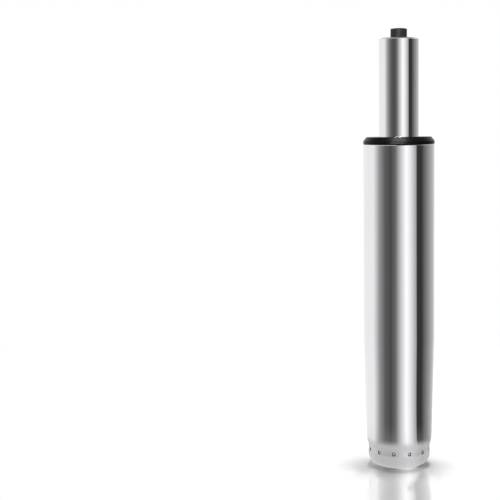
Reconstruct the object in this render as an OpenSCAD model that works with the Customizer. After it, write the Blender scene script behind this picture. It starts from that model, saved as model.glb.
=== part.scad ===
// Chair gas lift: a stand tube with a tapered foot and a locking gas spring
// that slides in its guide bush and turns on a thrust bearing at the bottom.
// Lengths are in millimetres. z = 0 is the underside of the stand tube, the
// axis is Z, and the spring is drawn fully down.

/* [Stand tube] */
// Outside diameter of the straight upper part
column_d = 50; // [46:0.5:54]
// Wall of the stand tube
column_wall = 2; // [1.5:0.1:2.4]
// Height of the stand tube below the collar
column_h = 230; // [205:1:260]
// Height at which the taper starts
taper_top = 93; // [80:1:120]
// Length in which the taper loses one millimetre of diameter
taper_ratio = 20; // [16:1:30]
// Outside radius of the rolled corner at the foot
foot_r = 9.4; // [8.6:0.1:10.2]
// Diameter of the opening in the rolled foot
foot_opening_d = 22; // [20:0.5:23]
// Height of the waist of the neck above the centre of the rolled corner
neck_rise = 3.3; // [2.4:0.1:4]
// Radius of the hollow of the neck
neck_r = 14.5; // [11:0.5:18]
// Height of the lower end of the taper above the waist of the neck
shoulder_rise = 9.1; // [8:0.1:11]
// Radius of the shoulder between the neck and the taper
shoulder_r = 14.5; // [11:0.5:18]
// Radius of the rounded edge at the top of the tube
rim_edge_r = 0.6; // [0.2:0.1:1]

/* [Stakes in the neck] */
// Number of punched stakes around the neck
stake_count = 12; // [6:1:16]
// Angle of the first stake, from the +X axis
stake_turn = 20; // [0:1:30]
// Gap between the rolled corner and the stakes
stake_gap = 0.2; // [0.15:0.05:0.6]
// Radius of the punch's round nose
stake_r = 1.7; // [1.4:0.1:2]
// Depth of a stake
stake_depth = 0.7; // [0.5:0.05:0.9]
// Radius of the bump that a stake raises inside
stake_bump_r = 1.2; // [1.1:0.05:1.3]

/* [Guide bush and collar] */
// Height of the collar above the stand tube
collar_h = 5; // [4:0.1:8]
// Height of the upright part of the collar's side
collar_side_h = 2.1; // [1:0.1:3]
// Width of the collar's sloping edge
collar_slope_w = 2.25; // [1:0.05:3]
// Radius of the collar's rounded edges
collar_edge_r = 0.4; // [0.2:0.05:0.6]
// Length of the bush inside the stand tube
bush_len = 83; // [60:1:95]
// Wall of the sleeve around the gas spring
bush_wall = 2.4; // [2:0.1:3]
// Number of long ribs outside the sleeve
bush_ribs = 12; // [8:1:16]
// Thickness of a rib
bush_rib_t = 1.8; // [1.4:0.1:2.4]
// Height of each hoop that joins the ribs
bush_hoop_h = 6; // [4:0.5:10]
// Wall of each hoop
bush_hoop_t = 2; // [1.5:0.1:2.5]
// Running clearance between the bush and the gas spring
bush_clear = 0.06; // [0.02:0.01:0.09]
// Width of the lead-in edges at the ends of the bush's bore
bush_lead = 0.5; // [0.3:0.1:0.8]

/* [Bottom plate and thrust bearing] */
// Height of the bottom plate
plate_h = 8; // [7.6:0.1:9]
// Thickness of the bottom plate's web
plate_web = 4; // [3:0.1:4.4]
// Diameter of the recess under the web
plate_recess_d = 21; // [19.5:0.5:21.5]
// Outside diameter of the thrust bearing
bearing_d = 22; // [20:0.5:24]
// Thickness of a bearing race
race_t = 2.6; // [2.2:0.1:3.2]
// Depth of the ball track in a race
track_depth = 0.5; // [0.3:0.05:0.7]
// Diameter of a bearing ball
ball_d = 3.2; // [2.8:0.1:3.6]
// Number of bearing balls
ball_count = 10; // [7:1:11]
// Thickness of the ball cage
cage_t = 1.2; // [0.8:0.1:1.4]
// Width of the cage inside and outside the ball pockets
cage_rim = 0.8; // [0.6:0.1:1]
// Diameter of the thrust washer on the bearing
thrust_washer_d = 25; // [22:0.5:28]
// Thickness of the thrust washer
thrust_washer_t = 2; // [1.5:0.1:3]

/* [Rod] */
// Diameter of the piston rod
rod_d = 10; // [9:0.5:11]
// Diameter of the rod's lower end
rod_end_d = 8; // [7:0.25:8.5]
// Diameter of the rod's upper end, which carries the piston
rod_top_d = 8; // [7:0.25:8.5]
// Thickness of the washer under the bottom plate
clip_washer_t = 1.2; // [1:0.05:1.4]
// Diameter of the washer under the bottom plate
clip_washer_d = 17; // [15:0.5:18]
// Thickness of the retaining clip
clip_t = 0.9; // [0.7:0.05:1]
// Outside diameter of the retaining clip
clip_d = 13.5; // [12.5:0.25:14.5]
// Depth of the rod's groove for the clip
clip_groove = 0.8; // [0.5:0.05:1]
// Length of rod below the clip
rod_tip = 1; // [0.6:0.05:1.1]
// Width of the edges broken at the rod's ends
rod_edge = 0.8; // [0.4:0.1:1]
// Length of thread past the piston nut
rod_top_spare = 2; // [1.5:0.5:4]

/* [Bumper] */
// Height of the rubber bumper
bumper_h = 25; // [15:1:35]
// Diameter of the bumper
bumper_d = 22; // [20:0.5:25]
// Radius of the hollow around the bumper's middle
bumper_hollow_r = 4; // [3:0.25:5]
// Depth of the hollow around the bumper's middle
bumper_hollow = 2; // [1:0.1:2.5]
// Width of the bumper's broken edges
bumper_edge = 1.5; // [0.5:0.1:2]

/* [Gas spring] */
// Outside diameter of the pressure tube
spring_d = 28; // [27:0.25:30]
// Wall of the pressure tube
spring_wall = 1.5; // [1.2:0.1:1.8]
// Length of the pressure tube above the collar when down
spring_exposed = 68.6; // [60:0.2:90]
// Travel of the gas spring
stroke = 100; // [60:1:120]
// Radius of the tube's rolled edges
tube_edge_r = 1; // [0.6:0.1:1.4]
// Diameter of the opening at the top of the pressure tube
tube_mouth_d = 18; // [16.5:0.5:20]
// Diameter of the opening at the foot of the pressure tube
tube_foot_d = 15; // [13:0.5:17]
// Width of the ring mark below the part that goes into the seat
mark_w = 0.8; // [0.6:0.1:1.2]
// Depth of the ring mark
mark_depth = 0.2; // [0.18:0.01:0.3]
// Height of the ring mark above the collar
mark_gap = 0.2; // [0:0.1:1]
// Bore of the inner tube
inner_d = 20; // [19:0.25:20.5]
// Wall of the inner tube
inner_wall = 1; // [0.8:0.1:1.2]
// Diameter of the gas ports in the inner tube and the valve
port_d = 2; // [1.4:0.1:2.4]
// Number of gas ports at each end
port_count = 4; // [2:1:6]

/* [Rod guide and seals] */
// Thickness of the end ring
end_ring_h = 3; // [2:0.1:5]
// Thickness of the washer below the rod seal
seal_washer_h = 1.5; // [1:0.1:3]
// Height of the rod seal
rod_seal_h = 8; // [6:0.5:10]
// Depth of the groove between the rod seal's lips
rod_seal_groove = 4; // [2:0.25:4.5]
// Height of the rod guide below its spigot
guide_h = 12; // [9:0.5:16]
// Height of the spigots that centre the inner tube
spigot_h = 8; // [6:0.5:10]
// Cord diameter of the static sealing rings
oring_d = 2.2; // [1.8:0.05:2.4]
// Clearance around the seals
seal_gap = 0.04; // [0.02:0.01:0.06]
// Running clearance between the rod and its guide
guide_clear = 0.06; // [0.02:0.01:0.09]

/* [Piston] */
// Height of the piston
piston_h = 16; // [14.5:0.5:20]
// Clearance between the rod guide and the piston at full travel
piston_gap = 3; // [1:0.5:8]
// Radial clearance between the piston and the inner tube
piston_clear = 0.1; // [0.05:0.01:0.2]
// Height of the glide ring around the piston
glide_h = 4; // [3:0.25:5]
// Thickness of the glide ring
glide_t = 1.5; // [1:0.1:2]
// Thickness of the washers on both sides of the piston
piston_washer_t = 1.5; // [1:0.1:2]
// Diameter of the washers on both sides of the piston
piston_washer_d = 16; // [14:0.5:17]
// Width across the flats of the piston nut
nut_flats = 13; // [12:0.5:14]
// Height of the piston nut
nut_h = 6.5; // [5:0.5:8]

/* [Valve and button] */
// Height of the cap that closes the top of the tube
cap_h = 8; // [6:0.5:12]
// Height of the valve body above its spigot
valve_h = 20; // [19:0.5:26]
// Depth of the chamber that holds the button's flange
chamber_h = 8; // [7:0.5:9]
// Diameter of the valve pin
pin_d = 4; // [3.4:0.1:4.4]
// Diameter of the valve pin's waist
pin_waist_d = 2.6; // [2:0.1:3]
// Diameter of the valve pin's head
pin_head_d = 7.2; // [6:0.2:8]
// Height of the valve pin's head
pin_head_h = 3; // [2:0.25:5]
// Cord diameter of the valve pin's sealing ring
pin_seal_d = 1.6; // [1.2:0.05:1.8]
// Running clearance between the valve pin and its bore
pin_clear = 0.05; // [0.02:0.01:0.09]
// Diameter of the release button
button_d = 11.5; // [10:0.25:13]
// Height of the button above the tube
button_rise = 7; // [4:0.1:10]
// Rise of the button's domed top
button_dome = 0.6; // [0.3:0.05:0.8]
// Radius of the button's top edge
button_edge_r = 1.2; // [0.6:0.1:1.5]
// Width of the flange that keeps the button in
button_flange_w = 1.25; // [0.8:0.05:1.5]
// Thickness of the button's flange
button_flange_h = 3; // [2:0.25:3.5]
// Running clearance between the button and the cap
button_clear = 0.1; // [0.05:0.01:0.15]

/* [Hidden] */
$fn = 96;
// Overshoot of cuts past the faces that they open
over = 1;
// Clearance of pieces that are pressed or slipped together and stay still
fit = 0.1;
// Clearance around pieces that turn past each other
turn_gap = 0.3;
// Clearance between a ball and its track or pocket
ball_gap = 0.08;
// Play below the bottom plate's web
clip_play = 0.05;
// Width of a small broken edge on turned pieces
edge = 0.5;

// Radii of the stand tube and the gas spring
column_r = column_d / 2;
column_bore_r = column_r - column_wall;
spring_r = spring_d / 2;
spring_bore_r = spring_r - spring_wall;
spring_fill_r = spring_bore_r - fit;
inner_r = inner_d / 2;
inner_out_r = inner_r + inner_wall;
spigot_r = inner_r - fit;
rod_r = rod_d / 2;
rod_end_r = rod_end_d / 2;
rod_top_r = rod_top_d / 2;

// Centres of the arcs of the foot, neck and shoulder, as [radius, height].
// Each arc runs smoothly into the next, and the shoulder into the taper.
taper_slope = 1 / (2 * taper_ratio);
neck_z = foot_r + neck_rise;
shoulder_z = neck_z + shoulder_rise;
shoulder_edge = [column_r - (taper_top - shoulder_z) * taper_slope, shoulder_z];
taper_normal = [1, -taper_slope] / norm([1, taper_slope]);
shoulder_c = shoulder_edge - shoulder_r * taper_normal;
neck_c = [shoulder_c.x + leg(neck_r + shoulder_r, shoulder_c.y - neck_z), neck_z];
foot_c = [neck_c.x - leg(neck_r + foot_r, neck_rise), foot_r];
neck_waist_r = neck_c.x - neck_r;
stake_z = toward(foot_c, neck_c, foot_r).y + leg(stake_r, stake_r - stake_depth) + stake_gap;

// Heights of the bottom plate, bearing and clip
plate_z = column_wall;
plate_top = plate_z + plate_h;
plate_rim_z = stake_z - stake_bump_r;
web_z = plate_top - plate_web;
clip_washer_z = web_z - clip_play - clip_washer_t;
clip_z = clip_washer_z - clip_t;
rod_tip_z = clip_z - rod_tip;
bearing_r = bearing_d / 2;
bearing_bore_r = rod_end_r + turn_gap;
ball_r = ball_d / 2;
ball_ring_r = (bearing_bore_r + bearing_r) / 2;
ball_z = plate_top + race_t - track_depth + ball_gap + ball_r;
upper_race_z = 2 * ball_z - plate_top - race_t;
thrust_washer_z = upper_race_z + race_t;
rod_shoulder_z = thrust_washer_z + thrust_washer_t;

// Heights in the gas spring, from its foot up
spring_z = rod_shoulder_z + bumper_h;
spring_top = column_h + collar_h + spring_exposed;
end_ring_z = spring_z + spring_wall;
seal_washer_z = end_ring_z + end_ring_h;
rod_seal_z = seal_washer_z + seal_washer_h;
guide_z = rod_seal_z + rod_seal_h;
guide_top = guide_z + guide_h;
piston_foot_z = guide_top + spigot_h + stroke + piston_gap;
piston_z = piston_foot_z + piston_washer_t;
piston_top = piston_z + piston_h;
nut_z = piston_top + piston_washer_t;
rod_top = nut_z + nut_h + rod_top_spare;
glide_z = piston_z + piston_h / 4 - glide_h / 2;
piston_seal_z = piston_z + piston_h * 3 / 4;
lower_port_z = guide_top + spigot_h + port_d * 3 / 2;

// Heights in the gas spring, from its top down
cap_top = spring_top - spring_wall;
cap_z = cap_top - cap_h;
valve_z = cap_z - valve_h;
valve_foot_z = valve_z - spigot_h;
chamber_floor = cap_z - chamber_h;
upper_port_z = valve_z - spigot_h / 2;
pin_seal_z = (valve_z + chamber_floor) / 2;
button_top = spring_top + button_rise;
button_r = button_d / 2;
button_bore_r = button_r + button_clear;
button_flange_r = button_r + button_flange_w;
button_flange_z = cap_z - button_flange_h;
pin_r = pin_d / 2;
pin_bore_r = pin_r + pin_clear;

// Other leg of a right triangle with this long side
function leg(long_side, side) = sqrt(long_side * long_side - side * side);
// Point at a distance from a, on the way to b
function toward(a, b, distance) = a + (b - a) * distance / norm(b - a);
// Angle at a corner between its edges towards a and b
function corner_angle(a, corner, b) =
    acos((a - corner) * (b - corner) / (norm(a - corner) * norm(b - corner)));
// Ends and centre of the arc that rounds a corner
function arc_ends(a, corner, b, r) =
    [for (end = [a, b]) toward(corner, end, r / tan(corner_angle(a, corner, b) / 2))];
function arc_centre(a, corner, b, r) =
    let (ends = arc_ends(a, corner, b, r))
    toward(corner, (ends[0] + ends[1]) / 2, r / sin(corner_angle(a, corner, b) / 2));
// Radius of the middle of a sealing ring's cord that seals against a bore
function seal_ring_r(bore_r, cord_d) = bore_r - seal_gap - cord_d / 2;

// Profile of a ring: a rectangle from an inner to an outer radius
module band(r_in, r_out, z, h) {
    translate([r_in, z])
        square([r_out - r_in, h]);
}

// Profile of a ring with all four edges broken
module eased_band(r_in, r_out, z, h, ease) {
    polygon([
        [r_in + ease, z], [r_out - ease, z], [r_out, z + ease], [r_out, z + h - ease],
        [r_out - ease, z + h], [r_in + ease, z + h], [r_in, z + h - ease], [r_in, z + ease]
    ]);
}

// Profile of a shaft with a rounded outer edge at each end
module rounded_bar(r, z, h, round_r) {
    band(0, r - round_r, z, h);
    band(0, r, z + round_r, h - 2 * round_r);
    for (corner_z = [z + round_r, z + h - round_r])
        translate([r - round_r, corner_z])
            circle(r = round_r);
}

// Sealing ring of round cord
module sealing_ring(ring_r, cord_d, z) {
    rotate_extrude()
        translate([ring_r, z])
            circle(d = cord_d);
}

// Profile of the groove for a sealing ring that seals against a bore
module seal_groove(bore_r, cord_d, z) {
    floor_r = seal_ring_r(bore_r, cord_d) - cord_d / 2 - seal_gap;
    half_h = cord_d / 2 + 2 * fit;
    band(floor_r, bore_r + over, z - half_h, 2 * half_h);
}

// Radial holes through a wall
module ports(r_in, r_out, z) {
    for (i = [0:port_count - 1])
        rotate([0, 0, i * 360 / port_count])
            translate([r_in, 0, z])
                rotate([0, 90, 0])
                    cylinder(d = port_d, h = r_out - r_in);
}

// Things spread around the neck where the stakes are
module at_stakes(r) {
    for (i = [0:stake_count - 1])
        rotate([0, 0, stake_turn + i * 360 / stake_count])
            translate([r, 0, stake_z])
                children();
}

// Half profile of the stand tube's form, drawn this far inside its outer face
module column_form(inset, top) {
    side_r = column_r - inset;
    corner_r = foot_r - inset;
    blend_r = shoulder_r - inset;
    taper_foot = shoulder_c + blend_r * taper_normal;
    taper_head_z = taper_foot.y + (side_r - taper_foot.x) / taper_slope;
    difference() {
        union() {
            polygon([
                [0, inset], [foot_c.x, inset],
                toward(foot_c, neck_c, corner_r),
                toward(shoulder_c, neck_c, blend_r),
                taper_foot, [side_r, taper_head_z], [side_r, top], [0, top]
            ]);
            translate(foot_c)
                circle(r = corner_r);
            intersection() {
                translate(shoulder_c)
                    circle(r = blend_r);
                band(0, side_r, 0, top);
            }
        }
        translate(neck_c)
            circle(r = neck_r + inset);
    }
}

// Profile of what is cut away to round the top outer edge of a tube
module round_edge_cut(r, top, round_r) {
    difference() {
        band(r - round_r, r + over, top - round_r, round_r + over);
        translate([r - round_r, top - round_r])
            circle(r = round_r);
    }
}

// Drawn steel tube with a standard taper for the base, a necked and rolled
// foot, and stakes that hold the bottom plate down on the rolled foot
module stand_tube() {
    bump_tip_r = neck_waist_r - column_wall - stake_depth;
    color([0.80, 0.81, 0.83])
        difference() {
            union() {
                rotate_extrude()
                    difference() {
                        column_form(0, column_h);
                        column_form(column_wall, column_h + over);
                        band(0, foot_opening_d / 2, -over, column_wall + 2 * over);
                        round_edge_cut(column_r, column_h, rim_edge_r);
                    }
                at_stakes(bump_tip_r + stake_bump_r)
                    sphere(r = stake_bump_r);
            }
            at_stakes(neck_waist_r - stake_depth + stake_r)
                sphere(r = stake_r);
        }
}

// Moulded bush: a collar on the stand tube's rim, a sleeve that guides the
// gas spring, and ribs and hoops that centre the sleeve in the stand tube
module guide_bush() {
    bore_r = spring_r + bush_clear;
    sleeve_r = bore_r + bush_wall;
    rib_r = column_bore_r - fit;
    hoop_r = rib_r - edge;
    foot_z = column_h - bush_len;
    top_z = column_h + collar_h;
    collar = [
        [sleeve_r, column_h], [column_r, column_h], [column_r, column_h + collar_side_h],
        [column_r - collar_slope_w, top_z], [bore_r + bush_lead, top_z]
    ];
    arcs = [for (i = [1:3]) arc_ends(collar[i - 1], collar[i], collar[i + 1], collar_edge_r)];
    hoop_zs = [foot_z, column_h - bush_len / 2 - bush_hoop_h / 2];
    color([0.05, 0.05, 0.055]) {
        rotate_extrude() {
            polygon([
                [bore_r + bush_lead, foot_z], [sleeve_r, foot_z], collar[0],
                for (ends = arcs) each ends,
                collar[4], [bore_r, top_z - bush_lead], [bore_r, foot_z + bush_lead]
            ]);
            for (i = [1:3])
                translate(arc_centre(collar[i - 1], collar[i], collar[i + 1], collar_edge_r))
                    circle(r = collar_edge_r);
            for (hoop_z = hoop_zs)
                band(hoop_r - bush_hoop_t, hoop_r, hoop_z, bush_hoop_h);
        }
        intersection() {
            for (i = [0:bush_ribs - 1])
                rotate([0, 0, i * 360 / bush_ribs])
                    translate([sleeve_r - bush_wall / 2, -bush_rib_t / 2, foot_z])
                        cube([column_r, bush_rib_t, bush_len + collar_side_h / 2]);
            cylinder(r = rib_r, h = column_h + collar_side_h / 2);
        }
    }
}

// Turned plate that sits in the rolled foot and carries the thrust bearing
module bottom_plate() {
    corner_r = foot_r - column_wall - fit;
    rim_r = neck_waist_r - column_wall - fit;
    recess_r = plate_recess_d / 2;
    color([0.55, 0.56, 0.58])
        rotate_extrude()
            difference() {
                union() {
                    polygon([
                        [0, plate_z], [foot_c.x, plate_z], [rim_r, foot_c.y],
                        [rim_r, plate_rim_z], [bearing_r + edge, plate_top], [0, plate_top]
                    ]);
                    intersection() {
                        translate(foot_c)
                            circle(r = corner_r);
                        band(0, rim_r, plate_z, foot_c.y - plate_z);
                    }
                }
                band(0, recess_r, plate_z - over, web_z - plate_z + over);
                band(0, bearing_bore_r, plate_z, plate_h + over);
            }
}

// Profile of a bearing race with its ball track
module race_profile(bore_r, z) {
    difference() {
        eased_band(bore_r, bearing_r, z, race_t, edge / 2);
        translate([ball_ring_r, ball_z])
            circle(r = ball_r + ball_gap);
    }
}

// Lower race of the thrust bearing, on the bottom plate
module lower_race() {
    color([0.62, 0.63, 0.66])
        rotate_extrude()
            race_profile(bearing_bore_r, plate_top);
}

// Upper race of the thrust bearing, which turns with the rod
module upper_race() {
    color([0.62, 0.63, 0.66])
        rotate_extrude()
            race_profile(rod_end_r + fit, upper_race_z);
}

// Things at each ball's place
module at_balls() {
    for (i = [0:ball_count - 1])
        rotate([0, 0, i * 360 / ball_count])
            translate([ball_ring_r, 0, ball_z])
                children();
}

// Flat cage that spaces the balls
module bearing_cage() {
    color([0.72, 0.58, 0.30])
        difference() {
            rotate_extrude()
                band(ball_ring_r - ball_r - cage_rim, ball_ring_r + ball_r + cage_rim,
                    ball_z - cage_t / 2, cage_t);
            at_balls()
                cylinder(r = ball_r + ball_gap, h = cage_t + over, center = true);
        }
}

// Balls of the thrust bearing
module bearing_balls() {
    color([0.75, 0.76, 0.78])
        at_balls()
            sphere(r = ball_r);
}

// Steel washer between the bearing and the rod's shoulder
module thrust_washer() {
    color([0.60, 0.61, 0.63])
        rotate_extrude()
            eased_band(rod_end_r + fit, thrust_washer_d / 2, thrust_washer_z, thrust_washer_t, edge / 2);
}

// Rubber bumper around the rod, on which the gas spring comes down
module bumper() {
    middle_z = rod_shoulder_z + bumper_h / 2;
    hollow_r = bumper_d / 2 - bumper_hollow + bumper_hollow_r;
    color([0.08, 0.08, 0.085])
        rotate_extrude()
            difference() {
                eased_band(rod_r + fit, bumper_d / 2, rod_shoulder_z, bumper_h, bumper_edge);
                translate([hollow_r, middle_z])
                    circle(r = bumper_hollow_r);
            }
}

// Ground rod with a grooved lower end and a threaded upper end
module piston_rod() {
    groove_r = rod_end_r - clip_groove;
    color([0.78, 0.79, 0.81])
        rotate_extrude()
            polygon([
                [0, rod_tip_z], [rod_end_r - rod_edge, rod_tip_z],
                [rod_end_r, rod_tip_z + rod_edge], [rod_end_r, clip_z],
                [groove_r, clip_z], [groove_r, clip_washer_z],
                [rod_end_r, clip_washer_z], [rod_end_r, rod_shoulder_z],
                [rod_r, rod_shoulder_z], [rod_r, piston_foot_z],
                [rod_top_r, piston_foot_z], [rod_top_r, rod_top - rod_edge],
                [rod_top_r - rod_edge, rod_top], [0, rod_top]
            ]);
}

// Washer between the bottom plate and the retaining clip
module clip_washer() {
    color([0.60, 0.61, 0.63])
        rotate_extrude()
            eased_band(rod_end_r + fit, clip_washer_d / 2, clip_washer_z, clip_washer_t, edge / 2);
}

// Spring steel clip with three jaws, pushed sideways into the rod's groove
module retaining_clip() {
    outer_r = clip_d / 2;
    relief_r = rod_end_r + clip_groove;
    jaw_r = rod_end_r - clip_groove + fit / 2;
    jaw_w = rod_end_r * 0.7;
    color([0.35, 0.35, 0.37])
        translate([0, 0, clip_z])
            linear_extrude(clip_t)
                difference() {
                    union() {
                        difference() {
                            circle(r = outer_r);
                            circle(r = relief_r);
                        }
                        for (angle = [0, 90, 180])
                            rotate([0, 0, angle])
                                translate([jaw_r, -jaw_w / 2])
                                    square([relief_r - jaw_r + edge, jaw_w]);
                    }
                    circle(r = jaw_r);
                    translate([-jaw_r, -outer_r - over])
                        square([2 * jaw_r, outer_r + over]);
                }
}

// Washer with broken edges at one side of the piston
module piston_washer_at(z) {
    rotate_extrude()
        eased_band(rod_top_r + fit, piston_washer_d / 2, z, piston_washer_t, edge / 2);
}

// Washer between the rod's upper shoulder and the piston
module piston_lower_washer() {
    color([0.60, 0.61, 0.63])
        piston_washer_at(piston_foot_z);
}

// Washer between the piston and its nut
module piston_upper_washer() {
    color([0.60, 0.61, 0.63])
        piston_washer_at(piston_top);
}

// Piston that parts the gas above it from the gas below
module piston() {
    piston_r = inner_r - piston_clear;
    color([0.70, 0.71, 0.73])
        rotate_extrude()
            difference() {
                eased_band(rod_top_r + fit, piston_r, piston_z, piston_h, edge);
                seal_groove(inner_r, oring_d, piston_seal_z);
                band(piston_r - glide_t, piston_r + over, glide_z - fit, glide_h + 2 * fit);
            }
}

// Low-friction band in the piston's lower groove
module piston_glide_ring() {
    piston_r = inner_r - piston_clear;
    color([0.88, 0.87, 0.82])
        rotate_extrude()
            band(piston_r - glide_t + fit / 2, inner_r - piston_clear / 2, glide_z, glide_h);
}

// Sealing ring in the piston's upper groove
module piston_seal() {
    color([0.07, 0.07, 0.08])
        sealing_ring(seal_ring_r(inner_r, oring_d), oring_d, piston_seal_z);
}

// Hexagon nut that holds the piston on the rod
module piston_nut() {
    corner_r = nut_flats / 2 / cos(30);
    color([0.62, 0.63, 0.66])
        intersection() {
            translate([0, 0, nut_z])
                cylinder(r = corner_r, h = nut_h, $fn = 6);
            rotate_extrude()
                eased_band(rod_top_r + fit, corner_r, nut_z, nut_h, edge);
        }
}

// Bright tube that holds the gas, rolled in at both ends
module pressure_tube() {
    mark_z = column_h + collar_h + mark_gap;
    color([0.80, 0.81, 0.83])
        rotate_extrude()
            difference() {
                rounded_bar(spring_r, spring_z, spring_top - spring_z, tube_edge_r);
                band(0, spring_bore_r, spring_z + spring_wall,
                    spring_top - spring_z - 2 * spring_wall);
                band(0, tube_mouth_d / 2, cap_top - over, spring_wall + 2 * over);
                band(0, tube_foot_d / 2, spring_z - over, spring_wall + 2 * over);
                band(spring_r - mark_depth, spring_r + over, mark_z, mark_w);
            }
}

// Tube in which the piston runs; gas passes outside it from end to end
module inner_tube() {
    color([0.72, 0.73, 0.75])
        difference() {
            rotate_extrude()
                band(inner_r, inner_out_r, guide_top, valve_z - guide_top);
            for (port_z = [lower_port_z, upper_port_z])
                ports(inner_r - over, inner_out_r + over, port_z);
        }
}

// Steel ring behind the pressure tube's rolled foot
module end_ring() {
    color([0.60, 0.61, 0.63])
        rotate_extrude()
            eased_band(rod_r + turn_gap, spring_fill_r, end_ring_z, end_ring_h, edge / 2);
}

// Plastic washer that backs the rod seal
module seal_washer() {
    color([0.88, 0.87, 0.82])
        rotate_extrude()
            band(rod_r + turn_gap, spring_fill_r, seal_washer_z, seal_washer_h);
}

// Rubber seal with one lip on the rod and one on the pressure tube
module rod_seal() {
    lip_in_r = rod_r + piston_clear;
    middle_r = (lip_in_r + spring_fill_r) / 2;
    half_w = (spring_fill_r - lip_in_r) / 4;
    color([0.07, 0.07, 0.08])
        rotate_extrude()
            difference() {
                eased_band(lip_in_r, spring_fill_r, rod_seal_z, rod_seal_h, edge);
                polygon([
                    [middle_r, guide_z - rod_seal_groove], [middle_r + half_w, guide_z + over],
                    [middle_r - half_w, guide_z + over]
                ]);
            }
}

// Bush at the foot of the gas spring that runs on the rod, with a spigot
// that centres the inner tube
module rod_guide() {
    bore_r = rod_r + guide_clear;
    color([0.68, 0.60, 0.38])
        rotate_extrude()
            difference() {
                union() {
                    band(bore_r, spring_fill_r, guide_z, guide_h);
                    eased_band(bore_r, spigot_r, guide_top - over, spigot_h + over, edge);
                }
                seal_groove(spring_bore_r, oring_d, guide_z + guide_h / 2);
            }
}

// Sealing ring around the rod guide
module rod_guide_oring() {
    color([0.07, 0.07, 0.08])
        sealing_ring(seal_ring_r(spring_bore_r, oring_d), oring_d, guide_z + guide_h / 2);
}

// Heights of the two sealing rings around the valve body
function valve_ring_z(share) = valve_z + valve_h * share;

// Cap under the pressure tube's rolled mouth, through which the button comes
module valve_cap() {
    color([0.58, 0.59, 0.61])
        rotate_extrude()
            eased_band(button_bore_r, spring_fill_r, cap_z, cap_h, edge);
}

// Valve body with the button's chamber, the pin's bore and gas ports
module valve_body() {
    chamber_r = button_flange_r + turn_gap;
    pin_seal_r = pin_r + seal_gap + pin_seal_d;
    color([0.70, 0.62, 0.40])
        difference() {
            rotate_extrude()
                difference() {
                    union() {
                        band(pin_bore_r, spring_fill_r, valve_z, valve_h);
                        eased_band(pin_bore_r, spigot_r, valve_foot_z, spigot_h + over, edge);
                    }
                    band(0, chamber_r, chamber_floor, chamber_h + over);
                    band(0, pin_seal_r + seal_gap, pin_seal_z - pin_seal_d / 2 - fit,
                        pin_seal_d + 2 * fit);
                    for (share = [1 / 4, 3 / 4])
                        seal_groove(spring_bore_r, oring_d, valve_ring_z(share));
                }
            ports(pin_r / 2, spigot_r + over, upper_port_z);
        }
}

// Upper sealing ring around the valve body
module valve_upper_oring() {
    color([0.07, 0.07, 0.08])
        sealing_ring(seal_ring_r(spring_bore_r, oring_d), oring_d, valve_ring_z(3 / 4));
}

// Lower sealing ring around the valve body
module valve_lower_oring() {
    color([0.07, 0.07, 0.08])
        sealing_ring(seal_ring_r(spring_bore_r, oring_d), oring_d, valve_ring_z(1 / 4));
}

// Sealing ring around the valve pin
module valve_pin_seal() {
    color([0.07, 0.07, 0.08])
        sealing_ring(pin_r + seal_gap + pin_seal_d / 2, pin_seal_d, pin_seal_z);
}

// Valve pin: its head closes the valve from below, and its waist lets gas
// through to the ports when the button pushes it down
module valve_pin() {
    head_r = pin_head_d / 2;
    waist_r = pin_waist_d / 2;
    color([0.75, 0.76, 0.78])
        rotate_extrude()
            polygon([
                [0, valve_foot_z - pin_head_h], [head_r - edge, valve_foot_z - pin_head_h],
                [head_r, valve_foot_z - pin_head_h + edge], [head_r, valve_foot_z],
                [waist_r, valve_foot_z], [waist_r, valve_z - edge],
                [pin_r, valve_z], [pin_r, button_flange_z], [0, button_flange_z]
            ]);
}

// Push button on top of the gas spring, with a flange under the cap
module release_button() {
    dome_r = (button_r * button_r + button_dome * button_dome) / (2 * button_dome);
    color([0.06, 0.06, 0.065])
        rotate_extrude() {
            band(0, button_flange_r, button_flange_z, button_flange_h);
            intersection() {
                rounded_bar(button_r, button_flange_z, button_top - button_flange_z, button_edge_r);
                translate([0, button_top - dome_r])
                    circle(r = dome_r);
                band(0, button_r + over, button_flange_z, button_top - button_flange_z);
            }
        }
}

stand_tube();
guide_bush();
bottom_plate();
lower_race();
bearing_cage();
bearing_balls();
upper_race();
thrust_washer();
bumper();
piston_rod();
clip_washer();
retaining_clip();
piston_lower_washer();
piston();
piston_glide_ring();
piston_seal();
piston_upper_washer();
piston_nut();
pressure_tube();
inner_tube();
end_ring();
seal_washer();
rod_seal();
rod_guide();
rod_guide_oring();
valve_cap();
valve_body();
valve_upper_oring();
valve_lower_oring();
valve_pin_seal();
valve_pin();
release_button();
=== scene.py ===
"""Dresses the chair gas lift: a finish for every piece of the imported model,
and a white studio whose long lights and flags draw the bands on its chrome.
"""

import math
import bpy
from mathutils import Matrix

bl_info = {
    "name": "Chair Gas Lift",
    "version": (1, 0, 0),
    "blender": (4, 5, 0),
    "location": "3D View > Sidebar > Gas Lift",
    "description": "Gives a chair gas lift its chrome, plastic and inner finishes, and a studio",
    "category": "Object",
}

import bmesh
import bpy
from bpy.props import FloatProperty, FloatVectorProperty, PointerProperty
from mathutils import Euler, Matrix

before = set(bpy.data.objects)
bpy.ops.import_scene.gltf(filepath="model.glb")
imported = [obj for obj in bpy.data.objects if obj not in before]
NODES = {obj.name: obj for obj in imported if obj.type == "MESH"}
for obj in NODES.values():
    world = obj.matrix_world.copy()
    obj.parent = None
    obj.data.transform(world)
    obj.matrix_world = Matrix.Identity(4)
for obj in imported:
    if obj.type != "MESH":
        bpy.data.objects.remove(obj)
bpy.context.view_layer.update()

MM = 0.001

# The middle of a noise, where most of its values lie
NOISE_LOW = 0.3
NOISE_HIGH = 0.7

# Lets a Map Range node fade softly between its ends
SMOOTH = {"interpolation_type": "SMOOTHSTEP"}


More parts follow.
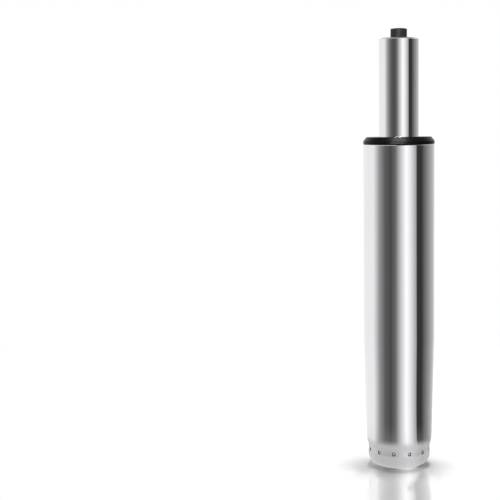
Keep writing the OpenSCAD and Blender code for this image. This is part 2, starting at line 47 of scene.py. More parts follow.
def linear(hex_colour):
    """Linear red, green and blue of an sRGB hex value."""
    channels = [int(hex_colour[i:i + 2], 16) / 255 for i in (0, 2, 4)]
    return tuple(c / 12.92 if c <= 0.04045 else ((c + 0.055) / 1.055) ** 2.4 for c in channels)


def grey(level):
    """An opaque grey of this linear level."""
    return (level, level, level, 1)


def per_mm(size_mm):
    """Texture scale at which one feature of a pattern is this many millimetres wide."""
    return 1 / (size_mm * MM)


def add_node(tree, kind, inputs=None, **settings):
    """Adds a node. Its inputs are values, or what is linked in: a socket, or a node, which
    stands for its first output in use."""
    node = tree.nodes.new(kind)
    for name, value in settings.items():
        setattr(node, name, value)
    for name, value in (inputs or {}).items():
        if isinstance(value, bpy.types.Node):
            value = next(socket for socket in value.outputs if socket.enabled)
        if isinstance(value, bpy.types.NodeSocket):
            tree.links.new(value, node.inputs[name])
        else:
            node.inputs[name].default_value = value
    return node


def set_stops(ramp, stops):
    """Gives a colour ramp these stops, each a place from 0 to 1 and a linear grey or colour."""
    elements = ramp.elements
    while len(elements) < len(stops):
        elements.new(0.5)
    for element, (place, value) in zip(elements, stops):
        element.position = place
        element.color = grey(value) if isinstance(value, (int, float)) else (*value, 1)


def colour_property(name, description, hex_colour):
    """A colour setting, from its sRGB hex value."""
    return FloatVectorProperty(
        name=name,
        description=description,
        subtype="COLOR",
        size=3,
        min=0,
        max=1,
        default=linear(hex_colour),
    )


def share_property(name, description, default):
    """A setting from 0 to 1."""
    return FloatProperty(
        name=name,
        description=description,
        subtype="FACTOR",
        min=0,
        max=1,
        default=default,
    )


class GasLiftFinish(bpy.types.PropertyGroup):
    """Colours and gloss of the pieces."""

    chrome_colour: colour_property("Chrome", "Colour of the chromed tubes", "E9E9EB")
    chrome_roughness: share_property("Chrome roughness", "Roughness of clean chrome plate", 0.035)
    rolled_roughness: share_property(
        "Rolled end roughness", "Roughness of the chrome on the stand tube's rolled end", 0.1
    )
    # Painted shade: a dark colour laid on the walls of the stakes' pits
    pit_shade_colour: colour_property("Stakes", "Colour of the steel in the stakes' pits", "3A3937")
    collar_colour: colour_property("Guide bush", "Colour of the moulded guide bush", "050506")
    button_colour: colour_property("Button", "Colour of the release button", "222223")
    zinc_colour: colour_property("Zinc plate", "Colour of zinc plated steel", "B9BDC2")
    bearing_colour: colour_property("Bearing steel", "Colour of ground bearing steel", "C9CACC")
    clip_colour: colour_property("Clip", "Colour of the phosphated spring clip", "3C3B3A")
    brass_colour: colour_property("Brass", "Colour of turned brass", "D9B36A")
    aluminium_colour: colour_property("Aluminium", "Colour of turned aluminium", "D2D3D5")
    ptfe_colour: colour_property("PTFE", "Colour of the glide band and seal washer", "E9E6DC")
    rubber_colour: colour_property("Rubber", "Colour of the seals and the bumper", "1C1C1D")


class GasLiftStage(bpy.types.PropertyGroup):
    """Camera, light and floor of the studio."""

    camera_distance: FloatProperty(
        name="Camera distance",
        description="Distance of the camera from the lift's axis",
        unit="LENGTH",
        default=0.9,
    )
    camera_height: FloatProperty(
        name="Camera height",
        description="Height of the camera above the floor",
        unit="LENGTH",
        default=0.2473,
    )
    camera_yaw: FloatProperty(
        name="Camera yaw",
        description="Turn of the camera to the left of the lift",
        subtype="ANGLE",
        default=math.radians(6.742),
    )
    camera_pitch: FloatProperty(
        name="Camera pitch",
        description="Downward tilt of the camera",
        subtype="ANGLE",
        default=math.radians(5.811),
    )
    camera_roll: FloatProperty(
        name="Camera roll",
        description="Roll of the camera",
        subtype="ANGLE",
        default=math.radians(-0.735),
    )
    lens: FloatProperty(
        name="Lens",
        description="Focal length on a 36 mm sensor",
        unit="CAMERA",
        default=91.15,
    )
    floor_radius: FloatProperty(
        name="Floor radius",
        description="Radius of the white floor",
        unit="LENGTH",
        default=8,
    )
    mirror_share: share_property(
        "Floor mirror", "Share of the light that the polished floor mirrors near the lift", 0.5
    )
    foot_tone: share_property(
        "Tone at the foot", "Brightness of the floor around the foot, as the chrome mirrors it", 0.66
    )
    ambient: FloatProperty(
        name="Ambient light",
        description="Strength of the even white light around",
        default=0.22,
    )
    overhead: FloatProperty(
        name="Overhead lights",
        description="Brightness that the three overhead lights give a white floor",
        default=0.7,
    )
    overhead_angle: FloatProperty(
        name="Overhead softness",
        description="Angle that each of the three overhead lights takes up",
        subtype="ANGLE",
        default=math.radians(5),
    )
    front: FloatProperty(
        name="Front light",
        description="Brightness that the front light gives a white wall facing it",
        default=0.2,
    )
    softbox: FloatProperty(
        name="Softboxes",
        description="Brightness of the softboxes that the black mouldings mirror",
        default=16,
    )


def new_finish(name, **principled):
    """A new material with one Principled shader. Returns it, its tree and its shader."""
    material = bpy.data.materials.new(name)
    material.use_nodes = True
    tree = material.node_tree
    shader = tree.nodes["Principled BSDF"]
    for socket, value in principled.items():
        shader.inputs[socket.replace("_", " ")].default_value = value
    return material, tree, shader


def stretched_noise(tree, size_mm, detail=3):
    """Noise on a piece's Object coordinates, with a feature size along each axis."""
    place = add_node(tree, "ShaderNodeTexCoord").outputs["Object"]
    scale = [per_mm(size) for size in size_mm]
    mapped = add_node(tree, "ShaderNodeMapping", {"Vector": place, "Scale": scale})
    return add_node(tree, "ShaderNodeTexNoise", {"Vector": mapped, "Scale": 1, "Detail": detail})


def vary_finish(tree, shader, gloss, tone, relief=None):
    """Varies a finish by noises, and returns its colour. Gloss is a noise with the lowest and
    the highest roughness. Tone is a noise with a colour, and the factors of its darkest shade
    and its lightest tint. Relief is a noise with its real depth in millimetres."""
    noise, low, high = gloss
    roughness = add_node(
        tree,
        "ShaderNodeMapRange",
        {
            "Value": noise,
            "From Min": NOISE_LOW,
            "From Max": NOISE_HIGH,
            "To Min": low,
            "To Max": high,
        },
    )
    tree.links.new(roughness.outputs["Result"], shader.inputs["Roughness"])
    noise, colour, shade, tint = tone
    ramp = add_node(tree, "ShaderNodeValToRGB", {"Fac": noise})
    set_stops(ramp.color_ramp, [
        (NOISE_LOW, tuple(c * shade for c in colour)),
        (NOISE_HIGH, tuple(min(1, c * tint) for c in colour)),
    ])
    tree.links.new(ramp.outputs["Color"], shader.inputs["Base Color"])
    if relief:
        noise, depth_mm = relief
        raised = add_node(
            tree, "ShaderNodeBump", {"Height": noise, "Distance": depth_mm * MM, "Strength": 1}
        )
        tree.links.new(raised.outputs["Normal"], shader.inputs["Normal"])
    return ramp


# Heights on the stand tube where the polish starts to fade and where it has gone
POLISH_END = 24 * MM
ROLLED_START = 17 * MM
# How much the haze varies the roughness
HAZE = 0.03

# Height of the row of stakes, and how far their pits reach above and below it
STAKE_Z = 12.3 * MM
STAKE_REACH = 1.4 * MM
# Distances from the axis: the rim of a pit, where the painted shade on its wall begins and ends, and
# its floor
PIT_RIM = 21.64 * MM
PIT_WALL = (21.5 * MM, 21.2 * MM)
PIT_FLOOR = 21.05 * MM


def stake_pit_shade(tree, place, height):
    """Mask of the painted shade in the stakes' pits: 1 on their walls, which lie nearer to
    the axis than the neck around them, and 0 elsewhere."""
    across = add_node(tree, "ShaderNodeVectorMath", {0: place, 1: (1, 1, 0)}, operation="MULTIPLY")
    radius = add_node(tree, "ShaderNodeVectorMath", {0: across}, operation="LENGTH")
    below_rim = add_node(
        tree,
        "ShaderNodeMapRange",
        {"Value": radius, "From Min": PIT_RIM, "From Max": PIT_WALL[0]},
        **SMOOTH,
    )
    above_floor = add_node(
        tree,
        "ShaderNodeMapRange",
        {"Value": radius, "From Min": PIT_FLOOR, "From Max": PIT_WALL[1]},
        **SMOOTH,
    )
    shaded_walls = add_node(tree, "ShaderNodeMath", {0: below_rim, 1: above_floor}, operation="MULTIPLY")
    row = add_node(
        tree, "ShaderNodeMath", {0: height, 1: STAKE_Z, 2: STAKE_REACH}, operation="COMPARE"
    )
    return add_node(tree, "ShaderNodeMath", {0: shaded_walls, 1: row}, operation="MULTIPLY")


def chrome_plate(finish):
    """Hard chrome on drawn and polished steel tube: a cool mirror, with faint polishing
    lines around the tube and a slight haze where hands have been. The rolled end of the
    stand tube can't be polished as well, and stays satin. The walls of its stakes' pits
    are painted dark, as painted shade."""
    material, tree, shader = new_finish("polished_chrome_tube", Metallic=1)
    place = add_node(tree, "ShaderNodeTexCoord").outputs["Object"]
    height = add_node(tree, "ShaderNodeSeparateXYZ", {"Vector": place}).outputs["Z"]
    low, high = [
        add_node(
            tree,
            "ShaderNodeMapRange",
            {
                "Value": height,
                "From Min": POLISH_END,
                "From Max": ROLLED_START,
                "To Min": polished,
                "To Max": rolled,
            },
            **SMOOTH,
        )
        for polished, rolled in (
            (finish.chrome_roughness, finish.rolled_roughness - HAZE),
            (finish.chrome_roughness + HAZE, finish.rolled_roughness + HAZE),
        )
    ]
    haze = stretched_noise(tree, (14, 14, 22))
    # Real polishing lines are about 0.05 mm apart; these are coarse enough to show
    lines = stretched_noise(tree, (60, 60, 0.5), detail=2)
    chrome = vary_finish(
        tree,
        shader,
        gloss=(haze, low, high),
        tone=(haze, finish.chrome_colour, 0.985, 1),
        relief=(lines, 0.002),
    )
    # The painted shade on the pits' walls lies over the chrome's colour, and takes its place at the
    # shader
    colour = add_node(
        tree,
        "ShaderNodeMix",
        {
            "Factor": stake_pit_shade(tree, place, height),
            "A": chrome,
            "B": (*finish.pit_shade_colour, 1),
        },
        data_type="RGBA",
    )
    tree.links.new(colour.outputs[2], shader.inputs["Base Color"])
    return material


def ground_chrome_rod(finish):
    """Chromed rod, centreless ground: bright, but less of a mirror than the polished tube,
    with fine grinding lines around it."""
    material, tree, shader = new_finish("ground_chrome_rod", Metallic=1)
    lines = stretched_noise(tree, (40, 40, 0.25), detail=2)
    vary_finish(
        tree,
        shader,
        gloss=(lines, 0.06, 0.1),
        tone=(lines, finish.chrome_colour, 0.96, 1),
        relief=(lines, 0.002),
    )
    return material


def moulded_plastic(name, colour, roughness, grain_mm):
    """Moulded plastic, black through and through: a satin skin with a fine eroded grain,
    slightly glossier in its low spots."""
    material, tree, shader = new_finish(name, IOR=1.46, Specular_IOR_Level=0.1)
    grain = stretched_noise(tree, (grain_mm, grain_mm, grain_mm), detail=4)
    flow = stretched_noise(tree, (9, 9, 3))
    vary_finish(
        tree,
        shader,
        gloss=(grain, roughness - 0.05, roughness + 0.07),
        tone=(flow, colour, 0.9, 1.1),
        relief=(grain, 0.008),
    )
    return material


def turned_metal(name, colour, roughness, line_mm, groove_mm):
    """Lathe-turned metal: fine tool lines around the axis, and a slow change of tone."""
    material, tree, shader = new_finish(name, Metallic=1)
    change = stretched_noise(tree, (6, 6, 6))
    lines = stretched_noise(tree, (30, 30, line_mm), detail=2)
    vary_finish(
        tree,
        shader,
        gloss=(lines, roughness - 0.05, roughness + 0.08),
        tone=(change, colour, 0.92, 1.05),
        relief=(lines, groove_mm),
    )
    return material


def zinc_plate(finish):
    """Steel with bright zinc plate: bluish grey, in soft patches, with the turned lines
    of the steel under it."""
    material, tree, shader = new_finish("zinc_plated_steel", Metallic=1)
    patches = stretched_noise(tree, (2.5, 2.5, 2.5), detail=4)
    lines = stretched_noise(tree, (30, 30, 0.3), detail=2)
    vary_finish(
        tree,
        shader,
        gloss=(patches, 0.24, 0.38),
        tone=(patches, finish.zinc_colour, 0.88, 1.06),
        relief=(lines, 0.004),
    )
    return material


def bearing_steel(finish):
    """Hardened chrome steel, ground and lapped: a hard grey mirror with faint haze."""
    material, tree, shader = new_finish("ground_bearing_steel", Metallic=1)
    haze = stretched_noise(tree, (1.2, 1.2, 1.2))
    vary_finish(
        tree,
        shader,
        gloss=(haze, 0.08, 0.16),
        tone=(haze, finish.bearing_colour, 0.95, 1.02),
    )
    return material


def phosphated_spring_steel(finish):
    """Spring steel with an oiled phosphate coat: dark grey, finely crystalline."""
    material, tree, shader = new_finish("phosphated_spring_steel", Metallic=0.7)
    crystals = stretched_noise(tree, (0.12, 0.12, 0.12), detail=4)
    vary_finish(
        tree,
        shader,
        gloss=(crystals, 0.38, 0.55),
        tone=(crystals, finish.clip_colour, 0.8, 1.2),
        relief=(crystals, 0.006),
    )
    return material


def skived_ptfe(finish):
    """PTFE skived from a rod: waxy off-white, soft to the light."""
    material, tree, shader = new_finish(
        "skived_ptfe",
        IOR=1.38,
        Subsurface_Weight=0.15,
        Subsurface_Radius=(0.8 * MM, 0.8 * MM, 0.8 * MM),
    )
    cloud = stretched_noise(tree, (1.5, 1.5, 1.5))
    vary_finish(
        tree,
        shader,
        gloss=(cloud, 0.42, 0.55),
        tone=(cloud, finish.ptfe_colour, 0.95, 1.02),
    )
    return material


def moulded_nitrile(finish):
    """Moulded nitrile rubber: matt black with a faint grey bloom and a fine grain."""
    material, tree, shader = new_finish("moulded_nitrile_rubber", IOR=1.5)
    bloom = stretched_noise(tree, (5, 5, 5), detail=4)
    grain = stretched_noise(tree, (0.2, 0.2, 0.2))
    vary_finish(
        tree,
        shader,
        gloss=(bloom, 0.55, 0.75),
        tone=(bloom, finish.rubber_colour, 0.85, 1.25),
        relief=(grain, 0.01),
    )
    return material


def dress(names, material):
    """Gives these CAD pieces a finish."""
    for name in names:
        slots = NODES[name].data.materials
        slots.clear()
        slots.append(material)


class GASLIFT_OT_tubes(bpy.types.Operator):
    """Chrome the stand tube and the pressure tube"""

    bl_idname = "gaslift.tubes"
    bl_label = "Chromed Tubes"

    def execute(self, context):
        dress(["stand_tube", "pressure_tube"], chrome_plate(context.scene.gaslift_finish))
        return {"FINISHED"}


class GASLIFT_OT_mouldings(bpy.types.Operator):
    """Give the guide bush and the release button their moulded black"""

    bl_idname = "gaslift.mouldings"
    bl_label = "Mouldings"

    def execute(self, context):
        finish = context.scene.gaslift_finish
        acetal = moulded_plastic(
            "moulded_bush_acetal", finish.collar_colour, roughness=0.3, grain_mm=0.35
        )
        nylon = moulded_plastic(
            "moulded_button_nylon", finish.button_colour, roughness=0.38, grain_mm=0.3
        )
        dress(["guide_bush"], acetal)
        dress(["release_button"], nylon)
        return {"FINISHED"}


class GASLIFT_OT_bearing(bpy.types.Operator):
    """Finish the thrust bearing, its plate and its retaining clip"""

    bl_idname = "gaslift.bearing"
    bl_label = "Thrust Bearing"

    def execute(self, context):
        finish = context.scene.gaslift_finish
        brass = turned_metal(
            "turned_cage_brass", finish.brass_colour, roughness=0.3, line_mm=0.4, groove_mm=0.003
        )
        dress(["lower_race", "upper_race", "bearing_balls"], bearing_steel(finish))
        dress(["bearing_cage"], brass)
        dress(["bottom_plate", "thrust_washer", "clip_washer"], zinc_plate(finish))
        dress(["retaining_clip"], phosphated_spring_steel(finish))
        return {"FINISHED"}


class GASLIFT_OT_rod(bpy.types.Operator):
    """Finish the rod, the piston and what is on them"""

    bl_idname = "gaslift.rod"
    bl_label = "Rod and Piston"

    def execute(self, context):
        finish = context.scene.gaslift_finish
        aluminium = turned_metal(
            "turned_aluminium", finish.aluminium_colour, roughness=0.32, line_mm=0.35, groove_mm=0.004
        )
        dress(["piston_rod"], ground_chrome_rod(finish))
        dress(["piston"], aluminium)
        dress(["piston_lower_washer", "piston_upper_washer", "piston_nut"], zinc_plate(finish))
        dress(["piston_glide_ring"], skived_ptfe(finish))
        dress(["piston_seal", "bumper"], moulded_nitrile(finish))
        return {"FINISHED"}


class GASLIFT_OT_cartridge(bpy.types.Operator):
    """Finish the inner tube, guide, seals and valve inside the pressure tube"""

    bl_idname = "gaslift.cartridge"
    bl_label = "Gas Spring Inside"

    def execute(self, context):
        finish = context.scene.gaslift_finish
        brass = turned_metal(
            "turned_brass", finish.brass_colour, roughness=0.26, line_mm=0.3, groove_mm=0.004
        )
        rings = ["rod_guide_oring", "valve_upper_oring", "valve_lower_oring", "valve_pin_seal"]
        dress(["rod_guide", "valve_body"], brass)
        dress(["inner_tube", "end_ring", "valve_cap"], zinc_plate(finish))
        dress(["valve_pin"], bearing_steel(finish))
        dress(["seal_washer"], skived_ptfe(finish))
        dress(["rod_seal", *rings], moulded_nitrile(finish))
        return {"FINISHED"}


# Brightness of the studio all around, by the angle from the camera's side in degrees,
# positive to the right: a white left, a long dark flag, a softbox, and a flag that starts
# sharply and fades out towards the back
STUDIO_BANDS = [
    (-180, 1.0),
    (-90, 1.0),
    (-65, 0.35),
    (-45, 0.13),
    (-25, 0.08),
    (-10, 0.18),
    (12, 0.87),
    (24, 1.25),
    (36, 1.0),
    (57, 0.42),
    (60, 0.04),
    (78, 0.045),
    (112, 0.345),
    (150, 0.67),
    (170, 1.0),
]

# Heights in the studio, as sines of the angle above the horizon: the flags' soft top edge,
# how much higher it is for the second mirror of two, and the edge of the ceiling
FLAG_TOP = (0.17, 0.21)
SECOND_RISE = 0.28
CEILING_EDGE = (0.5, 0.6)
# The ceiling's greys over the camera and at the back, and the sines between which they change
CEILING_FRONT = 0.06
CEILING_BACK = 0.4
CEILING_CHANGE = (-0.2, 0.2)

# A ray's bounces are whole numbers, and these lie just below its first and its second
FIRST_BOUNCE = 0.5
SECOND_BOUNCE = 1.5

# Painted pale grey glow around the foot: how far behind the axis its painted shade has
# # darkened it, by what factor, and the share of the studio's bands in it
BACK_DEPTH = 20 * MM
BACK_SHADE = 0.65
FOOT_BANDS = 0.12

# Ring of glowing pale card around the foot, painted light for the chrome, and the heights where it is
# clear and where it is solid
CARD_RADIUS = 30 * MM
CARD_HEIGHT = 20 * MM
CARD_CLEAR = 18.5 * MM
CARD_SOLID = 6.5 * MM

# The floor's polish: its roughness, the reach over which it ends around the lift, and the
# depths in front of the axis over which it begins
FLOOR_ROUGHNESS = 0.09
FLOOR_POLISH_REACH = (150 * MM, 100 * MM)
FLOOR_POLISH_DEPTH = (-8 * MM, -34 * MM)
# Slant of the view, from 0 straight on to 1 grazing, over which that polish starts to mirror
FLOOR_POLISH_SLANT = (0.35, 0.6)
# Tone of the floor's painted glow under the foot and the reach of its soft edge, and where the bands
# start on the floor
UNDER_TONE = 0.75
UNDER_EDGE = (12 * MM, 26 * MM)
BANDS_START = 28 * MM
# That start, as a share of the reach at which the floor has taken on the bands fully
BANDS_FULL = 0.2
# Reach over which the floor turns into the white background
FLOOR_END = (300 * MM, 600 * MM)

# Sides of the stage's round pieces
ROUND_SIDES = 96


def studio_bands(tree, direction):
    """Brightness of the studio in a direction, or at a place around the lift."""
    parts = add_node(tree, "ShaderNodeSeparateXYZ", {"Vector": direction}).outputs
    ahead = add_node(tree, "ShaderNodeMath", {0: parts["Y"], 1: -1}, operation="MULTIPLY")
    angle = add_node(tree, "ShaderNodeMath", {0: parts["X"], 1: ahead}, operation="ARCTAN2")
    turn = add_node(
        tree, "ShaderNodeMapRange", {"Value": angle, "From Min": -math.pi, "From Max": math.pi}
    )
    ramp = add_node(tree, "ShaderNodeValToRGB", {"Fac": turn})
    set_stops(ramp.color_ramp, [(0.5 + degrees / 360, level) for degrees, level in STUDIO_BANDS])
    return ramp


def foot_glow_tones(tree, place, stage):
    """Painted pale grey glow that the chrome of the foot mirrors, with painted shade at the
    back to draw its edges.
    """
    depth = add_node(tree, "ShaderNodeSeparateXYZ", {"Vector": place}).outputs["Y"]
    behind = add_node(
        tree, "ShaderNodeMapRange", {"Value": depth, "From Min": 0, "From Max": BACK_DEPTH}, **SMOOTH
    )
    return add_node(
        tree,
        "ShaderNodeMix",
        {"Factor": behind, "A": grey(stage.foot_tone), "B": grey(BACK_SHADE * stage.foot_tone)},
        data_type="RGBA",
    )


def mirrored_studio(tree, path):
    """What polished surfaces see around them: the bands, white above them, and a ceiling that
    is darkest over the camera."""
    direction = add_node(tree, "ShaderNodeTexCoord").outputs["Generated"]
    parts = add_node(tree, "ShaderNodeSeparateXYZ", {"Vector": direction}).outputs
    # The flags end low, so that the floor mirrors only the white above them; for what the
    # tube's own image in the floor mirrors, they reach higher
    second = add_node(
        tree, "ShaderNodeMath", {0: path["Glossy Depth"], 1: SECOND_BOUNCE}, operation="GREATER_THAN"
    )
    rise = add_node(
        tree, "ShaderNodeMath", {0: second, 1: -SECOND_RISE, 2: parts["Z"]}, operation="MULTIPLY_ADD"
    )
    above_flags, above_white, behind = [
        add_node(
            tree, "ShaderNodeMapRange", {"Value": value, "From Min": start, "From Max": end}, **SMOOTH
        )
        for value, (start, end) in (
            (rise, FLAG_TOP),
            (parts["Z"], CEILING_EDGE),
            (parts["Y"], CEILING_CHANGE),
        )
    ]
    around = add_node(
        tree,
        "ShaderNodeMix",
        {"Factor": above_flags, "A": studio_bands(tree, direction), "B": grey(1)},
        data_type="RGBA",
    )
    ceiling = add_node(
        tree,
        "ShaderNodeMix",
        {"Factor": behind, "A": grey(CEILING_FRONT), "B": grey(CEILING_BACK)},
        data_type="RGBA",
    )
    return add_node(
        tree,
        "ShaderNodeMix",
        {"Factor": above_white, "A": around, "B": ceiling},
        data_type="RGBA",
    )


def make_world(scene, stage):
    """White for the camera, even light for matt surfaces, and the bands for polished ones."""
    world = bpy.data.worlds.new("white_studio")
    scene.world = world
    world.use_nodes = True
    tree = world.node_tree
    tree.nodes.clear()
    path = add_node(tree, "ShaderNodeLightPath").outputs
    # Light that the chrome would throw on the floor is left out, for a clean shadow
    not_thrown = add_node(
        tree, "ShaderNodeMath", {0: path["Diffuse Depth"], 1: FIRST_BOUNCE}, operation="LESS_THAN"
    )
    polished = add_node(
        tree,
        "ShaderNodeMix",
        {"Factor": not_thrown, "A": grey(0), "B": mirrored_studio(tree, path)},
        data_type="RGBA",
    )
    even = add_node(
        tree,
        "ShaderNodeMix",
        {"Factor": path["Is Glossy Ray"], "A": grey(stage.ambient), "B": polished},
        data_type="RGBA",
    )
    plain = add_node(
        tree,
        "ShaderNodeMath",
        {0: path["Is Camera Ray"], 1: path["Is Transmission Ray"]},
        operation="MAXIMUM",
    )
    light = add_node(
        tree, "ShaderNodeMix", {"Factor": plain, "A": even, "B": grey(1)}, data_type="RGBA"
    )
    background = add_node(tree, "ShaderNodeBackground", {"Color": light})
    add_node(tree, "ShaderNodeOutputWorld", {"Surface": background})


def new_stage_material(name):
    """A new material without nodes. Returns it and its tree."""
    material = bpy.data.materials.new(name)
    material.use_nodes = True
    material.node_tree.nodes.clear()
    return material, material.node_tree


def add_stage_piece(name, shape, material):
    """Makes a piece of the stage from a bmesh."""
    mesh = bpy.data.meshes.new(name)
    shape.to_mesh(mesh)
    shape.free()
    mesh.materials.append(material)
    piece = bpy.data.objects.new(name, mesh)
    bpy.context.scene.collection.objects.link(piece)
    return piece


def polish_share(tree, place, reach, stage):
    """Share of light that the floor mirrors: polished in front of the lift, and lost at steep
    angles, as on any polish."""
    depth = add_node(tree, "ShaderNodeSeparateXYZ", {"Vector": place}).outputs["Y"]
    facing = add_node(tree, "ShaderNodeLayerWeight", {"Blend": 0.5}).outputs["Facing"]
    share = stage.mirror_share
    for value, (start, end) in (
        (reach, FLOOR_POLISH_REACH),
        (depth, FLOOR_POLISH_DEPTH),
        (facing, FLOOR_POLISH_SLANT),
    ):
        part = add_node(
            tree, "ShaderNodeMapRange", {"Value": value, "From Min": start, "From Max": end}, **SMOOTH
        )
        share = add_node(tree, "ShaderNodeMath", {0: part, 1: share}, operation="MULTIPLY")
    return share


def mirrored_floor(tree, place, reach, path, stage):
    """What the chrome sees of the floor, a painted glow: pale grey around the foot, and the
    studio's bands further out. The tube's own image in the floor sees the bands alone."""
    outside = add_node(
        tree,
        "ShaderNodeMapRange",
        {"Value": reach, "From Min": UNDER_EDGE[0], "From Max": UNDER_EDGE[1]},
        **SMOOTH,
    )
    around_foot = add_node(
        tree,
        "ShaderNodeMix",
        {"Factor": outside, "A": grey(UNDER_TONE), "B": foot_glow_tones(tree, place, stage)},
        data_type="RGBA",
    )
    nearness = add_node(tree, "ShaderNodeMath", {0: BANDS_START, 1: reach}, operation="DIVIDE")
    outward = add_node(
        tree,
        "ShaderNodeMapRange",
        {"Value": nearness, "From Min": 1, "From Max": BANDS_FULL, "To Min": FOOT_BANDS},
    )
    second = add_node(
        tree, "ShaderNodeMath", {0: path["Ray Depth"], 1: SECOND_BOUNCE}, operation="GREATER_THAN"
    )
    banded = add_node(tree, "ShaderNodeMath", {0: outward, 1: second}, operation="MAXIMUM")
    return add_node(
        tree,
        "ShaderNodeMix",
        {"Factor": banded, "A": around_foot, "B": studio_bands(tree, place)},
        data_type="RGBA",
    )


def polished_white_floor(stage):
    """White floor, polished in front of the lift, that runs out into the white background. To
    glossy rays it glows instead, in painted tones.
    """
    material, tree = new_stage_material("polished_white_floor")
    place = add_node(tree, "ShaderNodeTexCoord").outputs["Object"]
    path = add_node(tree, "ShaderNodeLightPath").outputs
    reach = add_node(tree, "ShaderNodeVectorMath", {0: place}, operation="LENGTH")
    matt = add_node(tree, "ShaderNodeBsdfDiffuse", {"Color": grey(1)})
    gloss = add_node(
        tree, "ShaderNodeBsdfGlossy", {"Color": grey(1), "Roughness": FLOOR_ROUGHNESS}
    )
    polished = add_node(
        tree,
        "ShaderNodeMixShader",
        {0: polish_share(tree, place, reach, stage), 1: matt, 2: gloss},
    )
    tone = mirrored_floor(tree, place, reach, path, stage)
    # For glossy rays the floor glows in these tones: painted light that the chrome mirrors
    floor_glow = add_node(tree, "ShaderNodeEmission", {"Color": tone, "Strength": 1})
    near = add_node(
        tree, "ShaderNodeMixShader", {0: path["Is Glossy Ray"], 1: polished, 2: floor_glow}
    )
    outside = add_node(
        tree,
        "ShaderNodeMapRange",
        {"Value": reach, "From Min": FLOOR_END[0], "From Max": FLOOR_END[1]},
        **SMOOTH,
    )
    far = add_node(
        tree, "ShaderNodeMath", {0: outside, 1: path["Is Camera Ray"]}, operation="MULTIPLY"
    )
    white = add_node(tree, "ShaderNodeEmission", {"Color": grey(1), "Strength": 1})
    surface = add_node(tree, "ShaderNodeMixShader", {0: far, 1: near, 2: white})
    add_node(tree, "ShaderNodeOutputMaterial", {"Surface": surface})
    return material


def make_floor(stage):
    """A round white floor."""
    shape = bmesh.new()
    bmesh.ops.create_circle(shape, cap_ends=True, segments=ROUND_SIDES, radius=stage.floor_radius)
    add_stage_piece("floor", shape, polished_white_floor(stage))


def glowing_foot_card(stage):
    """Pale card that glows, painted light for the chrome to mirror, see-through from outside
    and softly ending towards its top.
    """
    material, tree = new_stage_material("glowing_foot_card")
    place = add_node(tree, "ShaderNodeTexCoord").outputs["Object"]
    path = add_node(tree, "ShaderNodeLightPath").outputs
    inside = add_node(tree, "ShaderNodeNewGeometry").outputs["Backfacing"]
    first = add_node(
        tree, "ShaderNodeMath", {0: path["Ray Depth"], 1: SECOND_BOUNCE}, operation="LESS_THAN"
    )
    facing = add_node(tree, "ShaderNodeMath", {0: inside, 1: first}, operation="MULTIPLY")
    height = add_node(tree, "ShaderNodeSeparateXYZ", {"Vector": place}).outputs["Z"]
    solid = add_node(
        tree,
        "ShaderNodeMapRange",
        {"Value": height, "From Min": CARD_CLEAR, "From Max": CARD_SOLID},
        **SMOOTH,
    )
    shown = add_node(tree, "ShaderNodeMath", {0: facing, 1: solid}, operation="MULTIPLY")
    tone = add_node(
        tree,
        "ShaderNodeMix",
        {"Factor": FOOT_BANDS, "A": foot_glow_tones(tree, place, stage), "B": studio_bands(tree, place)},
        data_type="RGBA",
    )
    clear = add_node(tree, "ShaderNodeBsdfTransparent")
    pale = add_node(tree, "ShaderNodeEmission", {"Color": tone, "Strength": 1})
    surface = add_node(tree, "ShaderNodeMixShader", {0: shown, 1: clear, 2: pale})
    add_node(tree, "ShaderNodeOutputMaterial", {"Surface": surface})
    return material


def make_foot_card(stage):
    """A low ring of glowing pale card around the foot, painted light which only the chrome sees."""
    shape = bmesh.new()
    bmesh.ops.create_cone(
        shape,
        segments=ROUND_SIDES,
        radius1=CARD_RADIUS,
        radius2=CARD_RADIUS,
        depth=CARD_HEIGHT,
        matrix=Matrix.Translation((0, 0, CARD_HEIGHT / 2)),
    )
    card = add_stage_piece("foot_card", shape, glowing_foot_card(stage))
    card.visible_camera = False
    card.visible_diffuse = False
    card.visible_shadow = False


# How far the overhead lights stand to the back and to the right, and their spacing as a share
# of the angle that one takes up
OVERHEAD_BACK = math.radians(1.5)
OVERHEAD_RIGHT = math.radians(0.5)
OVERHEAD_SPACING = 0.65
# Angle of the front light from straight above
FRONT_TILT = math.radians(50)
# A sun lamp lights the same from any place, so these only keep the lamps apart in the 3D view
SUN_DISTANCE = 2
SUN_GAP = 0.2

# Softboxes: place, tilt from facing down, width and height
SOFTBOXES = {
    "softbox_front": ((-0.1, -1.2, 0.3), math.radians(90), 0.9, 0.4),
    "softbox_top": ((0, -0.3, 1.25), 0, 0.5, 0.6),
}


def add_lamp(name, kind, place, turn, **settings):
    """Adds a lamp, turned from facing down."""
    lamp = bpy.data.lights.new(name, kind)
    for setting, value in settings.items():
        setattr(lamp, setting, value)
    holder = bpy.data.objects.new(name, lamp)
    holder.matrix_world = Matrix.Translation(place) @ Euler(turn).to_matrix().to_4x4()
    bpy.context.scene.collection.objects.link(holder)
    return holder


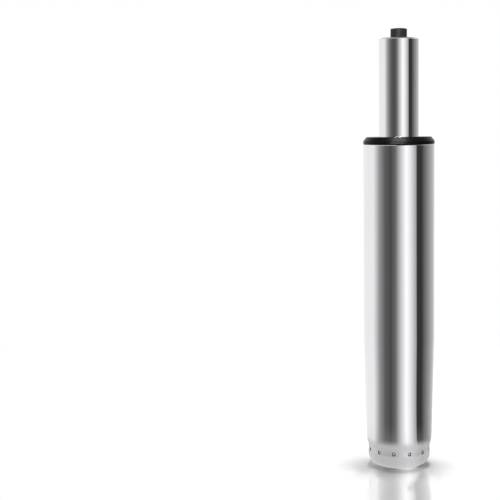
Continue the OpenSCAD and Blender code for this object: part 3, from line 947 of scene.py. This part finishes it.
def make_lights(stage):
    """Three overhead lights in a row, which draw the shadow around the foot, a front light
    without a shadow, and two softboxes that only the black mouldings mirror."""
    sides = {"overhead_right": 1, "overhead_middle": 0, "overhead_left": -1}
    for name, side in sides.items():
        overhead = add_lamp(
            name,
            "SUN",
            (SUN_GAP * side, 0, SUN_DISTANCE),
            (-OVERHEAD_BACK, OVERHEAD_RIGHT + OVERHEAD_SPACING * side * stage.overhead_angle, 0),
            energy=stage.overhead * math.pi / len(sides),
            angle=stage.overhead_angle,
        )
        overhead.visible_glossy = False
    front = add_lamp(
        "front",
        "SUN",
        (0, -SUN_DISTANCE, SUN_DISTANCE),
        (FRONT_TILT, 0, 0),
        energy=stage.front * math.pi,
        use_shadow=False,
    )
    front.visible_glossy = False
    mouldings = bpy.data.collections.new("mouldings")
    for name in ("guide_bush", "release_button"):
        mouldings.objects.link(NODES[name])
    for name, (place, tilt, width, height) in SOFTBOXES.items():
        softbox = add_lamp(
            name,
            "AREA",
            place,
            (tilt, 0, 0),
            shape="RECTANGLE",
            energy=stage.softbox * math.pi * width * height,
            size=width,
            size_y=height,
        )
        softbox.light_linking.receiver_collection = mouldings


def make_camera(scene, stage):
    """A camera in front of the lift, turned to its left."""
    camera = bpy.data.objects.new("camera", bpy.data.cameras.new("camera"))
    camera.data.lens = stage.lens
    camera.data.sensor_width = 36
    camera.data.clip_start = 10 * MM
    turn = (
        Matrix.Rotation(stage.camera_yaw, 4, "Z")
        @ Matrix.Rotation(math.pi / 2 - stage.camera_pitch, 4, "X")
        @ Matrix.Rotation(stage.camera_roll, 4, "Z")
    )
    place = Matrix.Translation((0, -stage.camera_distance, stage.camera_height))
    camera.matrix_world = place @ turn
    scene.collection.objects.link(camera)
    scene.camera = camera


class GASLIFT_OT_stage(bpy.types.Operator):
    """Set up the white floor, the studio light and the camera"""

    bl_idname = "gaslift.stage"
    bl_label = "Stage"

    def execute(self, context):
        scene = context.scene
        stage = scene.gaslift_stage
        scene.view_settings.view_transform = "Standard"
        make_world(scene, stage)
        make_floor(stage)
        make_foot_card(stage)
        make_lights(stage)
        make_camera(scene, stage)
        return {"FINISHED"}


OPERATORS = (
    GASLIFT_OT_tubes,
    GASLIFT_OT_mouldings,
    GASLIFT_OT_bearing,
    GASLIFT_OT_rod,
    GASLIFT_OT_cartridge,
    GASLIFT_OT_stage,
)


class GASLIFT_PT_panel(bpy.types.Panel):
    """Steps and settings of the gas lift"""

    bl_idname = "GASLIFT_PT_panel"
    bl_label = "Chair Gas Lift"
    bl_space_type = "VIEW_3D"
    bl_region_type = "UI"
    bl_category = "Gas Lift"

    def draw(self, context):
        for settings in (context.scene.gaslift_finish, context.scene.gaslift_stage):
            box = self.layout.box()
            for name in settings.__annotations__:
                box.prop(settings, name)
        for operator in OPERATORS:
            self.layout.operator(operator.bl_idname)


CLASSES = (GasLiftFinish, GasLiftStage, *OPERATORS, GASLIFT_PT_panel)


def register():
    """Adds the classes, and the settings to the scene."""
    for cls in CLASSES:
        bpy.utils.register_class(cls)
    bpy.types.Scene.gaslift_finish = PointerProperty(type=GasLiftFinish)
    bpy.types.Scene.gaslift_stage = PointerProperty(type=GasLiftStage)


def unregister():
    """Takes the settings and the classes away again."""
    del bpy.types.Scene.gaslift_stage
    del bpy.types.Scene.gaslift_finish
    for cls in reversed(CLASSES):
        bpy.utils.unregister_class(cls)


def main():
    """Takes every step in order."""
    register()
    bpy.ops.gaslift.tubes()
    bpy.ops.gaslift.mouldings()
    bpy.ops.gaslift.bearing()
    bpy.ops.gaslift.rod()
    bpy.ops.gaslift.cartridge()
    bpy.ops.gaslift.stage()


if __name__ == "__main__":
    main()
